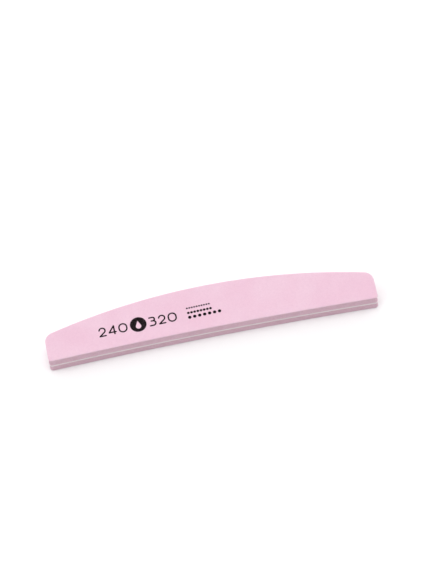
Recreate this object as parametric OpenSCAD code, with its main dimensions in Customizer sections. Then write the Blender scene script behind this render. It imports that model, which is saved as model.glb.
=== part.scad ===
// Half-moon nail buffer block: two abrasive faces on foam, bonded to a stiff core board.
// It lies on its lower face, with the origin under the centre of its bounding box,
// +X along its length, +Y towards the crowned back edge and +Z up.

/* [Outline] */
// Overall length between the two end faces
length = 178; // [140:1:200]
// Overall width, from the front corners to the crown of the back edge
width = 28; // [25:0.5:34]
// Height of an end face, between its two corners before they are rounded
end_height = 16; // [13:0.5:20]
// How far the front edge bows in at mid-length
front_bow = 1.65; // [0.5:0.05:3]
// Radius of the two corners where the end faces meet the back edge
back_corner_r = 5.5; // [2:0.5:8]
// Radius of the two corners where the end faces meet the front edge
front_corner_r = 1.7; // [0.5:0.1:3]

/* [Layers] */
// Thickness of the stiff plastic board in the middle
core_t = 1.0; // [0.5:0.1:2]
// Thickness of the foam pad above the board, under the printed face
upper_foam_t = 4.5; // [2:0.1:6]
// Thickness of the foam pad below the board
lower_foam_t = 3.9; // [2:0.1:6]
// Thickness of each double-sided tape film
tape_t = 0.1; // [0.05:0.01:0.2]
// Thickness of the waterproof backing paper of each abrasive sheet
backing_t = 0.2; // [0.1:0.01:0.4]
// Thickness of the bonded grit on each backing paper
coat_t = 0.12; // [0.08:0.01:0.3]

/* [Print] */
// Thickness of the printed ink film
ink_t = 0.03; // [0.02:0.01:0.06]
// Height of the printed grit numerals
numeral_h = 5.7; // [4.8:0.1:6.2]
// Line width of the numerals
stroke_w = 0.8; // [0.4:0.02:0.9]
// Left end of the printed mark
mark_x = -60.1; // [-62:0.1:-57]
// Baseline of the printed mark
mark_y = -5.5; // [-6:0.1:-4]
// Angle by which the whole print sits askew on the face
mark_turn = 1.4; // [-2:0.1:3]

/* [Hidden] */

pink = [0.96, 0.81, 0.88];
foam_pink = [0.80, 0.62, 0.70];
paper_white = [0.93, 0.88, 0.89];
tape_clear = [0.90, 0.86, 0.80];
board_white = [0.96, 0.95, 0.93];
ink_black = [0.05, 0.03, 0.04];

// Segments on the long arcs of the two edges, and on small circles.
edge_fn = 1440;
small_fn = 96;
// Spare length by which a cutting shape passes the material it cuts.
spare = 5;
// Growth of each rounding arc, so that it crosses its neighbours at a small angle and never just misses them.
arc_overlap = 0.002;

// Outline, in a frame whose X axis is the chord through the sharp front corners.
half_l = length / 2;
front_r = (half_l * half_l + front_bow * front_bow) / (2 * front_bow);
front_centre = [0, front_bow - front_r];
front_fillet = [
    half_l - front_corner_r,
    front_centre.y + sqrt(pow(front_r + front_corner_r, 2) - pow(half_l - front_corner_r, 2))
];
lowest_y = front_fillet.y - front_corner_r;
crown_y = lowest_y + width;
crown_h = crown_y - end_height;
back_r = (half_l * half_l + crown_h * crown_h) / (2 * crown_h);
back_centre = [0, crown_y - back_r];
back_fillet = [
    half_l - back_corner_r,
    back_centre.y + sqrt(pow(back_r - back_corner_r, 2) - pow(half_l - back_corner_r, 2))
];
outline_shift = -(crown_y + lowest_y) / 2;

// Heights of the layers above the lower face.
lower_backing_z = coat_t;
lower_outer_tape_z = lower_backing_z + backing_t;
lower_foam_z = lower_outer_tape_z + tape_t;
lower_inner_tape_z = lower_foam_z + lower_foam_t;
core_z = lower_inner_tape_z + tape_t;
upper_inner_tape_z = core_z + core_t;
upper_foam_z = upper_inner_tape_z + tape_t;
upper_outer_tape_z = upper_foam_z + upper_foam_t;
upper_backing_z = upper_outer_tape_z + tape_t;
upper_coat_z = upper_backing_z + backing_t;
top_z = upper_coat_z + coat_t;

// Widths of the numerals and the gaps between them, then places along the printed mark from its left end.
two_w = numeral_h * 0.70;
three_w = numeral_h * 0.68;
four_w = numeral_h * 0.78;
zero_w = numeral_h * 0.86;
numeral_gap = numeral_h * 0.20;
badge_r = numeral_h * 0.78;
badge_gap = numeral_h * 0.25;
badge_x = two_w + four_w + zero_w + 2 * numeral_gap + badge_gap + badge_r;
second_x = badge_x + badge_r + badge_gap;
rows_x = second_x + three_w + two_w + zero_w + 2 * numeral_gap + numeral_h;
dot_table = [
    [10, 1.0, 1.33, numeral_h * 1.08],
    [8, 1.45, 1.72, numeral_h * 0.57],
    [7, 1.85, 2.7, numeral_h * 0.08]
];

// A point at the given distance from one point towards another.
function towards(from, to, distance) = from + (to - from) * distance / norm(to - from);

// What rounding takes off a sharp corner, beyond the two points where the arc meets its neighbours.
module corner_waste(centre, radius, on_end, on_edge, outside) {
    difference() {
        polygon([centre, on_end, outside, on_edge]);
        translate(centre) circle(r = radius + arc_overlap, $fn = small_fn);
    }
}

module right_corner_waste() {
    corner_waste(
        front_fillet,
        front_corner_r,
        [half_l, front_fillet.y],
        towards(front_fillet, front_centre, front_corner_r),
        [half_l + spare, lowest_y - spare]
    );
    corner_waste(
        back_fillet,
        back_corner_r,
        [half_l, back_fillet.y],
        towards(back_centre, back_fillet, back_r),
        [half_l + spare, end_height + spare]
    );
}

// The closed half-moon outline that every layer is die-cut to.
module outline() {
    translate([0, outline_shift]) {
        difference() {
            intersection() {
                translate(back_centre) circle(r = back_r, $fn = edge_fn);
                translate([-half_l, -spare]) square([length, width + 2 * spare]);
            }
            translate(front_centre) circle(r = front_r, $fn = edge_fn);
            right_corner_waste();
            mirror([1, 0]) right_corner_waste();
        }
    }
}

module layer(z, thickness) {
    translate([0, 0, z]) linear_extrude(thickness) outline();
}

// The round end of a printed line.
module stroke_end() {
    circle(r = stroke_w / 2 + arc_overlap, $fn = small_fn);
}

// A printed line between two points, with round ends.
module stroke(from, to) {
    along = to - from;
    translate(from) rotate(atan2(along.y, along.x))
        translate([0, -stroke_w / 2]) square([norm(along), stroke_w]);
    translate(from) stroke_end();
    translate(to) stroke_end();
}

// A printed arc about a centre, from one angle anticlockwise to another, with round ends.
module arc_stroke(centre, radius, from, to) {
    reach = 2 * radius;
    wedge_steps = ceil((to - from) / 60);
    translate(centre) {
        intersection() {
            difference() {
                circle(r = radius + stroke_w / 2, $fn = small_fn);
                circle(r = radius - stroke_w / 2, $fn = small_fn);
            }
            polygon(concat([[0, 0]], [
                for (i = [0:wedge_steps])
                    let (angle = from + (to - from) * i / wedge_steps)
                    reach * [cos(angle), sin(angle)]
            ]));
        }
        for (angle = [from, to])
            translate(radius * [cos(angle), sin(angle)]) stroke_end();
    }
}

// Numerals, drawn from the left end of their baseline.
module numeral_two() {
    r = two_w / 2 - stroke_w / 2;
    top = [two_w / 2, numeral_h - stroke_w / 2 - r];
    foot = stroke_w / 2;
    leave = -38;
    arc_stroke(top, r, leave, 168);
    stroke(top + r * [cos(leave), sin(leave)], [foot, foot]);
    stroke([foot, foot], [two_w - foot, foot]);
}

module numeral_three() {
    foot = stroke_w / 2;
    waist = numeral_h * 0.56;
    upper_r = (numeral_h - foot - waist) / 2;
    lower_r = (waist - foot) / 2;
    bow_x = three_w - foot - lower_r;
    arc_stroke([bow_x, waist + upper_r], upper_r, -90, 90);
    arc_stroke([bow_x, foot + lower_r], lower_r, -90, 90);
    stroke([foot, numeral_h - foot], [bow_x, numeral_h - foot]);
    stroke([three_w * 0.34, waist], [bow_x, waist]);
    stroke([foot, foot], [bow_x, foot]);
}

module numeral_four() {
    foot = stroke_w / 2;
    bar_y = numeral_h * 0.27;
    stem_x = four_w * 0.74;
    stroke([stem_x, foot], [stem_x, numeral_h - foot]);
    stroke([foot, bar_y], [four_w - foot, bar_y]);
    stroke([foot, bar_y], [stem_x, numeral_h - foot]);
}

module numeral_zero() {
    foot = stroke_w / 2;
    r = zero_w / 2 - foot;
    arc_stroke([foot + r, numeral_h - foot - r], r, 0, 180);
    arc_stroke([foot + r, foot + r], r, 180, 360);
    for (x = [foot, zero_w - foot])
        stroke([x, foot + r], [x, numeral_h - foot - r]);
}

// A round badge with a water drop left open in it, for a washable tool.
module drop_badge() {
    drop_r = badge_r * 0.33;
    tip_h = badge_r * 0.78;
    tangent = acos(drop_r / tip_h);
    difference() {
        circle(r = badge_r, $fn = small_fn);
        translate([0, -drop_r * 0.75]) {
            circle(r = drop_r, $fn = small_fn);
            polygon([
                drop_r * [cos(90 - tangent), sin(90 - tangent)],
                [0, tip_h],
                drop_r * [cos(90 + tangent), sin(90 + tangent)]
            ]);
        }
    }
}

// Three rows of dots from fine to coarse, as [count, diameter, pitch, height of the row's centre].
module dot_rows() {
    for (row = dot_table)
        for (i = [0:row[0] - 1])
            translate([row[1] / 2 + i * row[2], row[3]]) circle(d = row[1], $fn = small_fn);
}

// Part of the print, at that place along the mark's baseline and above it.
module printed(x, y) {
    translate([mark_x, mark_y, top_z])
        rotate([0, 0, mark_turn])
            translate([x, y, 0])
                linear_extrude(ink_t) children();
}

module core_board() { color(board_white) layer(core_z, core_t); }
module upper_inner_tape() { color(tape_clear) layer(upper_inner_tape_z, tape_t); }
module upper_foam_pad() { color(foam_pink) layer(upper_foam_z, upper_foam_t); }
module upper_outer_tape() { color(tape_clear) layer(upper_outer_tape_z, tape_t); }
module upper_backing_paper() { color(paper_white) layer(upper_backing_z, backing_t); }
module upper_grit_coat() { color(pink) layer(upper_coat_z, coat_t); }
module lower_inner_tape() { color(tape_clear) layer(lower_inner_tape_z, tape_t); }
module lower_foam_pad() { color(foam_pink) layer(lower_foam_z, lower_foam_t); }
module lower_outer_tape() { color(tape_clear) layer(lower_outer_tape_z, tape_t); }
module lower_backing_paper() { color(paper_white) layer(lower_backing_z, backing_t); }
module lower_grit_coat() { color(pink) layer(0, coat_t); }

// The ink: the upper face's grit, the badge, the lower face's grit, and the row scale.
module grit_print() {
    color(ink_black) {
        printed(0, 0) numeral_two();
        printed(two_w + numeral_gap, 0) numeral_four();
        printed(two_w + four_w + 2 * numeral_gap, 0) numeral_zero();
        printed(badge_x, numeral_h / 2) drop_badge();
        printed(second_x, 0) numeral_three();
        printed(second_x + three_w + numeral_gap, 0) numeral_two();
        printed(second_x + three_w + two_w + 2 * numeral_gap, 0) numeral_zero();
        printed(rows_x, 0) dot_rows();
    }
}

core_board();
upper_inner_tape();
upper_foam_pad();
upper_outer_tape();
upper_backing_paper();
upper_grit_coat();
lower_inner_tape();
lower_foam_pad();
lower_outer_tape();
lower_backing_paper();
lower_grit_coat();
grit_print();
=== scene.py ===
import math

import bpy
import numpy as np
from mathutils import Matrix, Vector
from mathutils.geometry import delaunay_2d_cdt

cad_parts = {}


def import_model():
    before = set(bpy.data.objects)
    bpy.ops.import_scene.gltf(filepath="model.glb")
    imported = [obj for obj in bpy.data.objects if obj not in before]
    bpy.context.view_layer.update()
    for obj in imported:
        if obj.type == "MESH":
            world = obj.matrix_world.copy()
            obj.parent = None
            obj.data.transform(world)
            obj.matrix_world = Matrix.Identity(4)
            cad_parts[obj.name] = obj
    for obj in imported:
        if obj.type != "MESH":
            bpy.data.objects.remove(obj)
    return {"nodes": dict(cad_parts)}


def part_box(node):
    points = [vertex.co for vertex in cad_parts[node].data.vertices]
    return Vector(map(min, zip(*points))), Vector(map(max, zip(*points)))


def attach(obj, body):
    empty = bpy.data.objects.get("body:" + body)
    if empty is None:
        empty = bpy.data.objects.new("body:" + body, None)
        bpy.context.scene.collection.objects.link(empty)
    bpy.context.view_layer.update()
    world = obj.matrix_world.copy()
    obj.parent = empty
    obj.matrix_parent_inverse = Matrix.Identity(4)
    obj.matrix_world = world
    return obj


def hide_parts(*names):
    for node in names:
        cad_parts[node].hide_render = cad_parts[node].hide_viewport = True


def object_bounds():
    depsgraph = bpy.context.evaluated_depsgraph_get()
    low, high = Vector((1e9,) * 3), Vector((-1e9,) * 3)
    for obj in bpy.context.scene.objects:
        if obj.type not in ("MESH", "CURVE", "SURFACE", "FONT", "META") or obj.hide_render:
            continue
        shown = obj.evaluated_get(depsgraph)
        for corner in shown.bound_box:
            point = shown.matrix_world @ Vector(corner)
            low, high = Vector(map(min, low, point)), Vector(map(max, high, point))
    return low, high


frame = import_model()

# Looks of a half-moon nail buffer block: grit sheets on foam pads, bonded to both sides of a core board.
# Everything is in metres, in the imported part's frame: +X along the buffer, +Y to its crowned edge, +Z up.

cad_low, cad_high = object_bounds()
MM = 0.001
middle = (cad_low.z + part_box("upper_grit_coat")[1].z) / 2     # height halfway between the two grit faces

# Detail of the die-cut pieces.
SHEET_STEP = 0.35 * MM        # spacing of points round the grit sheets, papers and tapes
FOAM_STEP = 0.165 * MM        # spacing of points on a foam wall
BOARD_STEP = 0.13 * MM        # spacing of points round the core board
GRAIN_STEP = 0.42 * MM        # spacing of points over a grit face
ROLL_WIDTH = 1.1 * MM         # how far in from the edge the die rolls the sheets over
ROLL_DROP = 0.14 * MM         # how far it presses them down at the very edge
GRAIN_RELIEF = 0.022 * MM     # depth of the uneven spots in a grit face
FOAM_PINCH = 0.20 * MM        # how far a foam wall pulls in halfway up
FOAM_SETBACK = 0.05 * MM      # how far a foam wall stands back from the sheets it carries
CELL_SIZE = 0.42 * MM         # spacing of the cut cells in a foam wall
CELL_DEPTH = 0.085 * MM       # depth of a large cut cell, before the small ones in it
COAT_RAG = 0.014 * MM         # how ragged the cut edges are
PAPER_RAG = 0.018 * MM
TAPE_RAG = 0.02 * MM
PAPER_SETBACK = 0.006 * MM    # how far the paper and the tapes stand back from the grit
TAPE_SETBACK = 0.03 * MM
BROKEN = 0.06 * MM            # width of the broken corners along the board's edge
FACE_ROWS = (1, 0.75, 0.5, 0.28, 0.1)     # places of a sheet face's rows, in roll widths from its edge

# Colours, as linear reflectance.
GRIT_PINK = (0.732, 0.481, 0.589)
GRIT_PALE = (0.80, 0.645, 0.72)
GRIT_DEEP = (0.61, 0.37, 0.49)
FOAM_PINK = (0.865, 0.588, 0.697)
FOAM_DEEP = (0.59, 0.335, 0.425)
FOAM_PALE = (0.93, 0.74, 0.81)
PAPER = (0.80, 0.56, 0.67)
TAPE = (0.66, 0.49, 0.54)
BOARD = (0.92, 0.84, 0.85)
INK = (0.004, 0.003, 0.003)


# ---------------------------------------------------------------- the outline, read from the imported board

def circle_centre(points):
    """Centre of the circle through the first, the middle and the last of some points."""
    three = points[[0, len(points) // 2, -1]]
    rows = np.column_stack([2 * three, np.ones(3)])
    return np.linalg.solve(rows, (three ** 2).sum(axis=1))[:2]


def arc(centre, start, end, step):
    """Points no more than a step apart along the short arc from start up to, but not with, end."""
    a, b = start - centre, end - centre
    radius = math.hypot(*a)
    turn = math.atan2(a[0] * b[1] - a[1] * b[0], a @ b)
    count = max(1, math.ceil(abs(turn) * radius / step))
    angles = math.atan2(a[1], a[0]) + turn * np.arange(count) / count
    return centre + radius * np.column_stack([np.cos(angles), np.sin(angles)])


def line(start, end, step):
    """Points no more than a step apart from start up to, but not with, end."""
    count = max(1, math.ceil(math.dist(start, end) / step))
    return start + (end - start) * (np.arange(count) / count)[:, None]


def outline(step):
    """The half-moon's points, anticlockwise from the left end of its front edge, and the inward normals."""
    corners = np.array([v.co[:2] for v in frame["nodes"]["core_board"].data.vertices], float)
    half = corners[:, 0].max()
    on_end = corners[corners[:, 0] > half - 1e-6]
    end_low, end_high = on_end[np.argmin(on_end[:, 1])], on_end[np.argmax(on_end[:, 1])]
    long_edges = corners[np.abs(corners[:, 0]) < 0.9 * half]
    by_x = long_edges[np.argsort(long_edges[:, 0])]
    front, back = by_x[by_x[:, 1] < 0], by_x[by_x[:, 1] > 0]
    near_end = corners[corners[:, 0] > 0.9 * half]
    by_y = np.unique(near_end[np.argsort(near_end[:, 1])].round(9), axis=0)
    front_corner, back_corner = by_y[by_y[:, 1] <= end_low[1] + 1e-8], by_y[by_y[:, 1] >= end_high[1] - 1e-8]
    front_start, back_start = front_corner[0], back_corner[0]
    mirror = np.array([-1.0, 1.0])
    front_centre, back_centre = circle_centre(front), circle_centre(back)
    low_centre, high_centre = circle_centre(front_corner), circle_centre(back_corner)
    points = np.concatenate([
        arc(front_centre, front_start * mirror, front_start, step),
        arc(low_centre, front_start, end_low, step),
        line(end_low, end_high, step),
        arc(high_centre, end_high, back_start, step),
        arc(back_centre, back_start, back_start * mirror, step),
        arc(high_centre * mirror, back_start * mirror, end_high * mirror, step),
        line(end_high * mirror, end_low * mirror, step),
        arc(low_centre * mirror, end_low * mirror, front_start * mirror, step),
    ])
    along = np.roll(points, -1, axis=0) - np.roll(points, 1, axis=0)
    along /= np.linalg.norm(along, axis=1)[:, None]
    return points, np.column_stack([-along[:, 1], along[:, 0]])


# ---------------------------------------------------------------- noise, the same in every run

def smooth_noise(x, y, cell, seed, around=4096):
    """Smooth noise from -1 to 1, with features a cell across. It repeats after that many cells in x."""
    table = np.random.default_rng(seed).uniform(-1, 1, (around, 256))
    ix, iy = np.floor(x / cell).astype(int), np.floor(y / cell).astype(int)
    fx, fy = x / cell - ix, y / cell - iy
    fx, fy = fx * fx * (3 - 2 * fx), fy * fy * (3 - 2 * fy)

    def at(dx, dy):
        return table[(ix + dx) % around, (iy + dy) % 256]

    return (at(0, 0) * (1 - fx) + at(1, 0) * fx) * (1 - fy) + (at(0, 1) * (1 - fx) + at(1, 1) * fx) * fy


def cut_cells(x, y, cell, seed, around):
    """Depth from 0 to 1 of round pits of many sizes, one near each cell of a grid that repeats in x."""
    rng = np.random.default_rng(seed)
    place = rng.uniform(0.1, 0.9, (around, 256, 2))
    radius = rng.uniform(0.12, 0.62, (around, 256))
    ix, iy = np.floor(x / cell).astype(int), np.floor(y / cell).astype(int)
    deepest = np.zeros(x.shape)
    for dx in (-1, 0, 1):
        for dy in (-1, 0, 1):
            i, j = (ix + dx) % around, (iy + dy) % 256
            away = np.hypot(ix + dx + place[i, j, 0] - x / cell, iy + dy + place[i, j, 1] - y / cell)
            deepest = np.maximum(deepest, 1 - (away / radius[i, j]) ** 2)
    return deepest


def round_the_edge(points):
    """Distance along the outline of each of its points, and the whole way round."""
    steps = np.linalg.norm(np.roll(points, -1, axis=0) - points, axis=1)
    return np.concatenate([[0], np.cumsum(steps)[:-1]]), steps.sum()


def edge_noise(points, height, size, seed):
    """Noise from -1 to 1 on a wall, with features about that size, and no seam where the outline closes."""
    along, whole = round_the_edge(points)
    around = round(whole / size)
    return smooth_noise(along, np.full(len(points), height), whole / around, seed, around)


# ---------------------------------------------------------------- meshes

def roll(inset):
    """How far the die pressed the sheets down, at that distance in from the edge."""
    return ROLL_DROP * np.clip(1 - np.asarray(inset) / ROLL_WIDTH, 0, 1) ** 2


def inner_points(ring, normals, spacing, seed):
    """Points spread over the inside of a ring, clear of it, in a jittered triangular pattern."""
    low, high = ring.min(axis=0), ring.max(axis=0)
    columns = np.arange(low[0], high[0], spacing)
    rows = np.arange(low[1], high[1], spacing * 0.87)
    x, y = np.meshgrid(columns, rows)
    x[1::2] += spacing / 2
    spread = np.column_stack([x.ravel(), y.ravel()])
    spread += np.random.default_rng(seed).uniform(-0.25, 0.25, spread.shape) * spacing
    kept = []
    for block in np.array_split(spread, 40):
        away = block[:, None, :] - ring[None, :, :]
        nearest = (away ** 2).sum(axis=2).argmin(axis=1)
        inside = (away[np.arange(len(block)), nearest] * normals[nearest]).sum(axis=1)
        kept.append(block[inside > 0.6 * spacing])
    return np.concatenate(kept)


def fill(ring, inner):
    """Triangles, wound anticlockwise, over a ring and the points inside it. Indices run over both."""
    both = np.concatenate([ring, inner]) / MM
    flat = [Vector(p) for p in both]
    _, _, faces, origins, _, _ = delaunay_2d_cdt(flat, [], [list(range(len(ring)))], 1, 1e-5)
    made = []
    for face in faces:
        a, b, c = (origins[i][0] for i in face)
        first, second = both[b] - both[a], both[c] - both[a]
        turn = first[0] * second[1] - first[1] * second[0]
        made.append((a, b, c) if turn > 0 else (a, c, b))
    return made


def die_cut(name, node, rows, step, side=1, relief=None, values=None):
    """A closed piece that stands for a CAD node. Its rows run from the outer face over the edge to the inner
    face, each as the distance in from the outline and the height over the middle of the buffer. Side -1 turns
    it upside down. Relief gives the depth at x, y of a sheet's outer face. Values is a name for an attribute
    and what it holds at each row's points."""
    points, normals = outline(step)
    count = len(points)
    rings = []
    for inset, height in rows:
        inset = np.broadcast_to(inset, count)
        flat = points + normals * inset[:, None]
        rings.append(np.column_stack([flat, np.broadcast_to(height, count)]))
    if relief is None:
        inner = np.empty((0, 2))
    else:
        inner = inner_points(rings[0][:, :2], normals, GRAIN_STEP, seed=7)
    faces = [tuple(f) for f in fill(rings[0][:, :2], inner)]
    top = np.full(len(inner), rows[0][1])
    verts = np.concatenate([np.column_stack([inner, top]), *rings])
    if relief is not None:
        on_top = len(inner) + len(FACE_ROWS) * count
        verts[:on_top, 2] -= relief(verts[:on_top, 0], verts[:on_top, 1])
    start = len(inner)
    faces = [tuple(i + start if i < count else i - count for i in f) for f in faces]
    for r in range(len(rows) - 1):
        here, below = start + r * count, start + (r + 1) * count
        for k in range(count):
            after = (k + 1) % count
            faces.append((here + k, below + k, below + after, here + after))
    last = start + (len(rows) - 1) * count
    faces += [tuple(last + i for i in reversed(f)) for f in fill(rings[-1][:, :2], np.empty((0, 2)))]
    verts[:, 2] = middle + side * verts[:, 2]
    if side < 0:
        faces = [tuple(reversed(f)) for f in faces]
    mesh = bpy.data.meshes.new(name)
    mesh.from_pydata(verts.tolist(), [], faces)
    mesh.polygons.foreach_set("use_smooth", [True] * len(faces))
    mesh.set_sharp_from_angle(angle=math.radians(38))
    if values is not None:
        label, per_row = values
        held = np.concatenate([np.zeros(start), *(np.broadcast_to(v, count) for v in per_row)])
        mesh.attributes.new(label, "FLOAT", "POINT").data.foreach_set("value", held.astype(np.float32))
    piece = bpy.data.objects.new(name, mesh)
    bpy.context.scene.collection.objects.link(piece)
    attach(piece, "root")
    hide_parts(node)
    return piece


def heights(node):
    """The outer and inner face of a layer, as heights over the middle of the buffer."""
    low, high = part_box(node)
    ends = abs(low.z - middle), abs(high.z - middle)
    return max(ends), min(ends)


def sheet(node, name, side, setback, rag, seed, relief=None, rolled=True):
    """A grit sheet, paper or tape, rolled over at its edge with the layers around it unless it lies flat on
    the board. A grit sheet's rim value is 1 on its very edge."""
    outer, inner = heights(node)
    points, _ = outline(SHEET_STEP)
    nicks, waves = edge_noise(points, 0, 0.9 * MM, seed), edge_noise(points, 0, 4 * MM, seed + 1)
    ragged = setback + rag * (1 + nicks + 0.6 * waves)
    drops = [roll(s * ROLL_WIDTH) if rolled else 0.0 for s in (*FACE_ROWS, 0)]
    softened = min(0.03 * MM, (outer - inner) / 4)
    rows = [(ragged + s * ROLL_WIDTH, outer - drop) for s, drop in zip(FACE_ROWS, drops)]
    rows += [
        (ragged + softened, outer - drops[-1]),
        (ragged + softened * 0.3, outer - drops[-1] - softened * 0.3),
        (ragged, outer - drops[-1] - softened),
        (ragged, inner - drops[-1]),
    ]
    rows += [(ragged + s * ROLL_WIDTH, inner - drop) for s, drop in reversed(list(zip(FACE_ROWS, drops)))]
    rims = (0, 0, 0, 0.15, 0.55, 0.9, 1, 0.8, 0.2, 0, 0, 0, 0, 0)
    return die_cut(name, node, rows, SHEET_STEP, side, relief, ("rim", rims) if relief else None)


def foam(node, name, side, seed):
    """A foam pad: its cut wall pulls in halfway up, and the die left its cells open."""
    outer, inner = heights(node)
    points, _ = outline(FOAM_STEP)
    along, whole = round_the_edge(points)
    around = round(whole / CELL_SIZE)
    cell = whole / around
    wave = edge_noise(points, 0, 11 * MM, seed)
    levels = math.ceil((outer - inner) / FOAM_STEP)
    shares = (1, 0.5, 0.2)
    rows = [(FOAM_SETBACK + s * ROLL_WIDTH, outer - roll(s * ROLL_WIDTH)) for s in shares]
    pits = [0.0] * len(shares)
    for level in range(levels + 1):
        t = level / levels
        height = (outer - roll(0)) * (1 - t) + inner * t
        shape = 4 * t * (1 - t)
        open_cells = cut_cells(along, np.full(len(points), height), cell, seed + 1, around)
        open_cells += 0.35 * cut_cells(along, np.full(len(points), height), cell / 2, seed + 2, 2 * around)
        open_cells *= min(1, 6 * shape)
        inset = FOAM_SETBACK + FOAM_PINCH * shape * (1 + 0.25 * wave) + CELL_DEPTH * open_cells
        inset += 0.02 * MM * shape * edge_noise(points, height, 1.6 * MM, seed + 3)
        rows.append((inset, height))
        pits.append(open_cells)
    rows.append((FOAM_SETBACK + ROLL_WIDTH, inner))
    pits.append(0.0)
    piece = die_cut(name, node, rows, FOAM_STEP, side, values=("pit", pits))
    return piece


def board(node, name):
    """The core board: a sheared plastic edge with fine upright tool lines and broken corners."""
    low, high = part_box(node)
    outer, inner = high.z - middle, low.z - middle
    centre, step_off = (outer + inner) / 2, 0.175 * (outer - inner)
    points, _ = outline(BOARD_STEP)
    fine, broad = edge_noise(points, 0, 0.26 * MM, 41), edge_noise(points, 0, 6 * MM, 42)
    lines = 0.006 * MM * (1 + fine) + 0.012 * MM * (1 + broad)
    rows = [
        (lines + 0.6 * MM, outer),
        (lines + BROKEN, outer),
        (lines + BROKEN * 0.3, outer - BROKEN * 0.3),
        (lines, outer - BROKEN),
        (lines * 1.4, centre + step_off),
        (lines * 1.4 + 0.012 * MM, centre - step_off),
        (lines + 0.012 * MM, inner + BROKEN),
        (lines + BROKEN * 0.3, inner + BROKEN * 0.3),
        (lines + BROKEN, inner),
        (lines + 0.6 * MM, inner),
    ]
    return die_cut(name, node, rows, BOARD_STEP)


def uneven_grit(seed):
    """The depth of the uneven spots in a grit face, at x and y."""
    def depth(x, y):
        fine = smooth_noise(x + 0.5, y + 0.5, 0.8 * MM, seed)
        broad = smooth_noise(x + 0.5, y + 0.5, 3.1 * MM, seed + 1)
        return GRAIN_RELIEF * np.clip(0.5 + 0.38 * fine + 0.25 * broad, 0, 1)
    return depth


# ---------------------------------------------------------------- materials

class Shader:
    """A new material with a Principled shader, and short calls for the nodes that feed it."""

    def __init__(self, name, roughness, specular):
        self.material = bpy.data.materials.new(name)
        self.material.use_nodes = True
        self.nodes, self.links = self.material.node_tree.nodes, self.material.node_tree.links
        self.shader = self.nodes["Principled BSDF"]
        self.shader.inputs["Roughness"].default_value = roughness
        self.shader.inputs["Specular IOR Level"].default_value = specular
        self.place = self.nodes.new("ShaderNodeTexCoord").outputs["Object"]

    def stretched(self, x, y, z):
        """The place in the frame, squeezed or stretched along each axis."""
        node = self.nodes.new("ShaderNodeMapping")
        self.links.new(self.place, node.inputs["Vector"])
        node.inputs["Scale"].default_value = (x, y, z)
        return node.outputs["Vector"]

    def noise(self, size, detail=2.0, roughness=0.5, place=None):
        """Noise from 0 to 1 with features about that size."""
        node = self.nodes.new("ShaderNodeTexNoise")
        self.links.new(place or self.place, node.inputs["Vector"])
        node.inputs["Scale"].default_value = 1 / size
        node.inputs["Detail"].default_value = detail
        node.inputs["Roughness"].default_value = roughness
        return node.outputs["Fac"]

    def cells(self, size, output="Distance", feature="F1", place=None):
        """Cells of that size: the distance to the nearest centre, or a random colour for each cell."""
        node = self.nodes.new("ShaderNodeTexVoronoi")
        node.feature = feature
        self.links.new(place or self.place, node.inputs["Vector"])
        node.inputs["Scale"].default_value = 1 / size
        return node.outputs[output]

    def curve(self, value, *stops):
        """The value sent through a ramp of (place, level) stops."""
        node = self.nodes.new("ShaderNodeValToRGB")
        ramp = node.color_ramp
        while len(ramp.elements) < len(stops):
            ramp.elements.new(0.5)
        for element, (place, level) in zip(ramp.elements, stops):
            element.position = place
            element.color = (level, level, level, 1)
        self.links.new(value, node.inputs["Fac"])
        return node.outputs["Color"]

    def mixed(self, share, first, second):
        """A colour between two colours or sockets."""
        node = self.nodes.new("ShaderNodeMix")
        node.data_type = "RGBA"
        self.links.new(share, node.inputs["Factor"])
        for index, colour in ((6, first), (7, second)):
            if isinstance(colour, tuple):
                node.inputs[index].default_value = (*colour, 1)
            else:
                self.links.new(colour, node.inputs[index])
        return node.outputs[2]

    def maths(self, operation, first, second):
        """Two values or sockets put together by a Math node."""
        node = self.nodes.new("ShaderNodeMath")
        node.operation = operation
        for socket, value in zip(node.inputs, (first, second)):
            if isinstance(value, (int, float)):
                socket.default_value = value
            else:
                self.links.new(value, socket)
        return node.outputs[0]

    def attribute(self, name):
        """A value stored on the mesh's points."""
        node = self.nodes.new("ShaderNodeAttribute")
        node.attribute_name = name
        return node.outputs["Fac"]

    def finish(self, colour, roughness=None, height=None, depth=0.0):
        """Joins the colour, the roughness and a bump of that depth to the shader."""
        self.links.new(colour, self.shader.inputs["Base Color"])
        if roughness is not None:
            self.links.new(roughness, self.shader.inputs["Roughness"])
        if height is not None:
            bump = self.nodes.new("ShaderNodeBump")
            bump.inputs["Strength"].default_value = 1.0
            bump.inputs["Distance"].default_value = depth
            self.links.new(height, bump.inputs["Height"])
            self.links.new(bump.outputs["Normal"], self.shader.inputs["Normal"])
        return self.material


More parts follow.
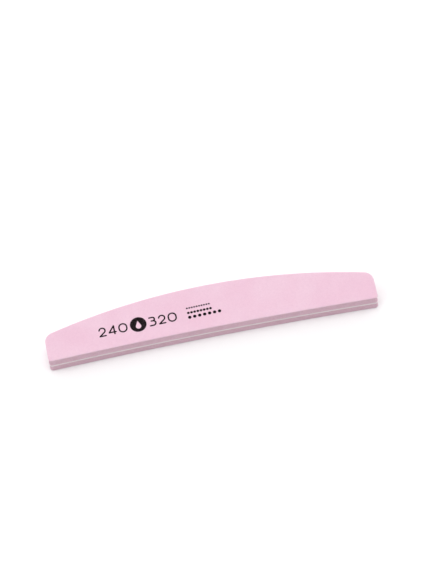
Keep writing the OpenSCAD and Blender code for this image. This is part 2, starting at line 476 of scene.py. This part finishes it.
def grit_material():
    """Pale pink resin full of fine grain, with pale and dark specks, and paler where the die broke it."""
    s = Shader("pink_grit", 0.9, 0.3)
    cloudy = s.mixed(s.curve(s.noise(16 * MM, 3), (0.35, 0.0), (0.65, 0.22)), GRIT_PINK, GRIT_PALE)
    clumped = s.mixed(s.curve(s.noise(0.9 * MM, 3, 0.6), (0.4, 0.0), (0.75, 0.25)), cloudy, GRIT_DEEP)
    speck = s.cells(0.13 * MM, "Color")
    # Dark specks: some grains are darker pink, and the specks are partly painted shade of the resin between
    # the grains.
    dark = s.mixed(s.curve(speck, (0.0, 0.6), (0.2, 0.0)), clumped, GRIT_DEEP)
    pale = s.mixed(s.curve(speck, (0.82, 0.0), (0.95, 0.75)), dark, GRIT_PALE)
    cracks = s.curve(s.noise(0.5 * MM, 3, 0.7), (0.35, 0.1), (0.7, 0.9))
    worn = s.mixed(s.maths("MULTIPLY", s.attribute("rim"), cracks), pale, GRIT_PALE)
    rough = s.curve(speck, (0.0, 0.95), (0.8, 0.85), (1.0, 0.55))
    grains = s.maths("MULTIPLY", s.curve(s.cells(0.13 * MM), (0.0, 1.0), (0.6, 0.0)), 0.6)
    clumps = s.maths("MULTIPLY", s.noise(0.35 * MM, 2), 0.8)
    height = s.maths("ADD", s.maths("ADD", s.noise(0.10 * MM, 2, 0.7), clumps), grains)
    return s.finish(worn, rough, height, 0.04 * MM)


def foam_material():
    """Pink closed-cell foam: the die opened its cells into small cups with paler rims. The deep open cells
    and the middles of the pinholes are darkened with painted shade.
    """
    s = Shader("pink_foam", 0.88, 0.25)
    cloudy = s.mixed(s.curve(s.noise(9 * MM, 2), (0.3, 0.0), (0.7, 0.2)), FOAM_PINK, FOAM_DEEP)
    cups = s.mixed(s.curve(s.cells(0.27 * MM, "Color"), (0.0, 0.45), (0.55, 0.0)), cloudy, FOAM_DEEP)
    # Painted shade: darker where the cut cells in the wall are deepest, read from the mesh's pit value.
    cut = s.mixed(s.curve(s.attribute("pit"), (0.1, 0.0), (0.9, 0.4)), cups, FOAM_DEEP)
    away = s.cells(0.27 * MM, feature="DISTANCE_TO_EDGE")
    rims = s.mixed(s.curve(away, (0.0, 0.7), (0.11, 0.0)), cut, FOAM_PALE)
    fine = s.cells(0.12 * MM)
    # Painted shade: darker towards the middle of each small pinhole.
    shaded_pinholes = s.mixed(s.curve(fine, (0.0, 0.35), (0.3, 0.0)), rims, FOAM_DEEP)
    height = s.maths("ADD", s.curve(away, (0.0, 1.0), (0.3, 0.0)), s.maths("MULTIPLY", fine, 0.4))
    return s.finish(shaded_pinholes, None, height, 0.05 * MM)


def board_material():
    """White polystyrene, sheared by the die."""
    s = Shader("core_plastic", 0.5, 0.4)
    sheared = s.stretched(1, 1, 0.12)
    lines = s.noise(0.09 * MM, 3, 0.6, sheared)
    tone = s.mixed(s.curve(s.noise(5 * MM, 3), (0.3, 0.0), (0.7, 0.12)), BOARD, PAPER)
    dusty = s.mixed(s.curve(lines, (0.45, 0.0), (0.8, 0.3)), tone, PAPER)
    rough = s.curve(lines, (0.3, 0.42), (0.7, 0.68))
    return s.finish(dusty, rough, lines, 0.02 * MM)


def paper_material():
    """The cut edge of waterproof paper: short fibres, tinted by the coat."""
    s = Shader("backing_paper", 0.85, 0.25)
    fibres = s.noise(0.06 * MM, 3, 0.65, s.stretched(1, 1, 3))
    colour = s.mixed(s.curve(fibres, (0.35, 0.0), (0.7, 0.4)), PAPER, FOAM_PINK)
    return s.finish(colour, None, fibres, 0.02 * MM)


def tape_material():
    """The cut edge of clear tape, dulled by dust that its glue holds."""
    s = Shader("tape_film", 0.35, 0.5)
    dust = s.noise(0.25 * MM, 3, 0.6)
    colour = s.mixed(s.curve(dust, (0.4, 0.0), (0.7, 0.5)), TAPE, FOAM_PINK)
    rough = s.curve(dust, (0.3, 0.3), (0.7, 0.75))
    return s.finish(colour, rough, dust, 0.01 * MM)


def ink_material():
    """Matte black ink over the grain, worn through on a few grain tips."""
    s = Shader("black_ink", 0.75, 0.06)
    tips = s.curve(s.noise(0.13 * MM, 2, 0.6), (0.68, 0.0), (0.76, 0.5))
    thin = s.mixed(s.curve(s.noise(1.3 * MM, 2), (0.4, 0.0), (0.8, 0.05)), INK, GRIT_DEEP)
    colour = s.mixed(tips, thin, GRIT_PINK)
    height = s.maths("ADD", s.noise(0.10 * MM, 2, 0.7), s.maths("MULTIPLY", s.noise(0.35 * MM, 2), 0.8))
    return s.finish(colour, None, height, 0.03 * MM)


# ---------------------------------------------------------------- the buffer

finishes = {
    "pink_grit": grit_material(),
    "pink_foam": foam_material(),
    "core_plastic": board_material(),
    "backing_paper": paper_material(),
    "tape_film": tape_material(),
    "black_ink": ink_material(),
}


def dress(piece, slot):
    """Gives a piece the finish kept under that slot's name."""
    piece.data.materials.clear()
    piece.data.materials.append(finishes[slot])


dress(board("core_board", "core_board_plate"), "core_plastic")
for word, side in (("upper", 1), ("lower", -1)):
    first = 100 if side > 0 else 200
    uneven = uneven_grit(first + 50)
    coat = sheet(f"{word}_grit_coat", f"{word}_grit_face", side, 0.0, COAT_RAG, first, uneven)
    dress(coat, "pink_grit")
    node = f"{word}_backing_paper"
    paper = sheet(node, f"{word}_backing_sheet", side, PAPER_SETBACK, PAPER_RAG, first + 10)
    dress(paper, "backing_paper")
    for which, seed in (("outer", 20), ("inner", 30)):
        node = f"{word}_{which}_tape"
        rolled = which == "outer"
        film = sheet(node, f"{node}_film", side, TAPE_SETBACK, TAPE_RAG, first + seed, rolled=rolled)
        dress(film, "tape_film")
    dress(foam(f"{word}_foam_pad", f"{word}_foam_body", side, first + 40), "pink_foam")
dress(frame["nodes"]["grit_print"], "black_ink")


# ---------------------------------------------------------------- floor, light and camera

def floor():
    """A plain white sheet that the buffer lies on."""
    reach, under = 12.0, cad_low.z - 0.01 * MM
    mesh = bpy.data.meshes.new("studio_floor")
    corners = [(x * reach, y * reach, under) for x, y in ((-1, -1), (1, -1), (1, 1), (-1, 1))]
    mesh.from_pydata(corners, [], [(0, 1, 2, 3)])
    piece = bpy.data.objects.new("studio_floor", mesh)
    bpy.context.scene.collection.objects.link(piece)
    material = bpy.data.materials.new("studio_white")
    material.use_nodes = True
    shader = material.node_tree.nodes["Principled BSDF"]
    shader.inputs["Base Color"].default_value = (0.90, 0.90, 0.90, 1)
    shader.inputs["Roughness"].default_value = 0.9
    shader.inputs["Specular IOR Level"].default_value = 0.0
    mesh.materials.append(material)


def world(strength):
    """Even light from all round. The camera sees it as plain white."""
    made = bpy.data.worlds.new("studio_world")
    bpy.context.scene.world = made
    made.use_nodes = True
    nodes, links = made.node_tree.nodes, made.node_tree.links
    soft = nodes["Background"]
    soft.inputs["Color"].default_value = (1, 1, 1, 1)
    soft.inputs["Strength"].default_value = strength
    white = nodes.new("ShaderNodeBackground")
    white.inputs["Color"].default_value = (1, 1, 1, 1)
    white.inputs["Strength"].default_value = 1.05
    seen = nodes.new("ShaderNodeLightPath")
    chosen = nodes.new("ShaderNodeMixShader")
    links.new(seen.outputs["Is Camera Ray"], chosen.inputs["Fac"])
    links.new(soft.outputs["Background"], chosen.inputs[1])
    links.new(white.outputs["Background"], chosen.inputs[2])
    links.new(chosen.outputs["Shader"], nodes["World Output"].inputs["Surface"])


def softbox(name, towards, strength, spread):
    """A far, broad light of that strength, the same all over the floor, from the direction it stands in."""
    lamp = bpy.data.lights.new(name, "SUN")
    lamp.energy = strength
    lamp.angle = math.radians(spread)
    piece = bpy.data.objects.new(name, lamp)
    piece.rotation_euler = (-Vector(towards)).to_track_quat("-Z", "Y").to_euler()
    bpy.context.scene.collection.objects.link(piece)


def camera():
    """The camera: from above the front edge, a little to the left, and tilted so that the right end rises."""
    distance, azimuth, elevation, tilt = 1.5, math.radians(-3.571), math.radians(59.98), math.radians(-7.93)
    aim_right, aim_up = 0.63 * MM, 18.68 * MM
    back = Vector((math.sin(azimuth) * math.cos(elevation), -math.cos(azimuth) * math.cos(elevation),
                   math.sin(elevation)))
    turns = ((tilt, "Z"), (math.atan(aim_up / distance), "X"), (-math.atan(aim_right / distance), "Y"))
    looking = (-back).to_track_quat("-Z", "Y").to_matrix()
    for angle, axis in turns:
        looking = looking @ Matrix.Rotation(angle, 3, axis)
    data = bpy.data.cameras.new("camera")
    data.lens = 178.9
    data.sensor_width = 36.0
    data.clip_start, data.clip_end = 0.1, 40.0
    piece = bpy.data.objects.new("camera", data)
    piece.matrix_world = Matrix.Translation(back * distance) @ looking.to_4x4()
    bpy.context.scene.collection.objects.link(piece)
    bpy.context.scene.camera = piece


bpy.context.scene.view_settings.view_transform = "Standard"
floor()
world(0.02)
softbox("overhead_softbox", (0, 0, 1), 0.74, 30)
softbox("left_softbox", (-1, 0, 1), 1.94, 75)
softbox("right_softbox", (1, 0, 1), 1.76, 75)
softbox("back_softbox", (0, 1, 0.45), 1.3, 40)
camera()
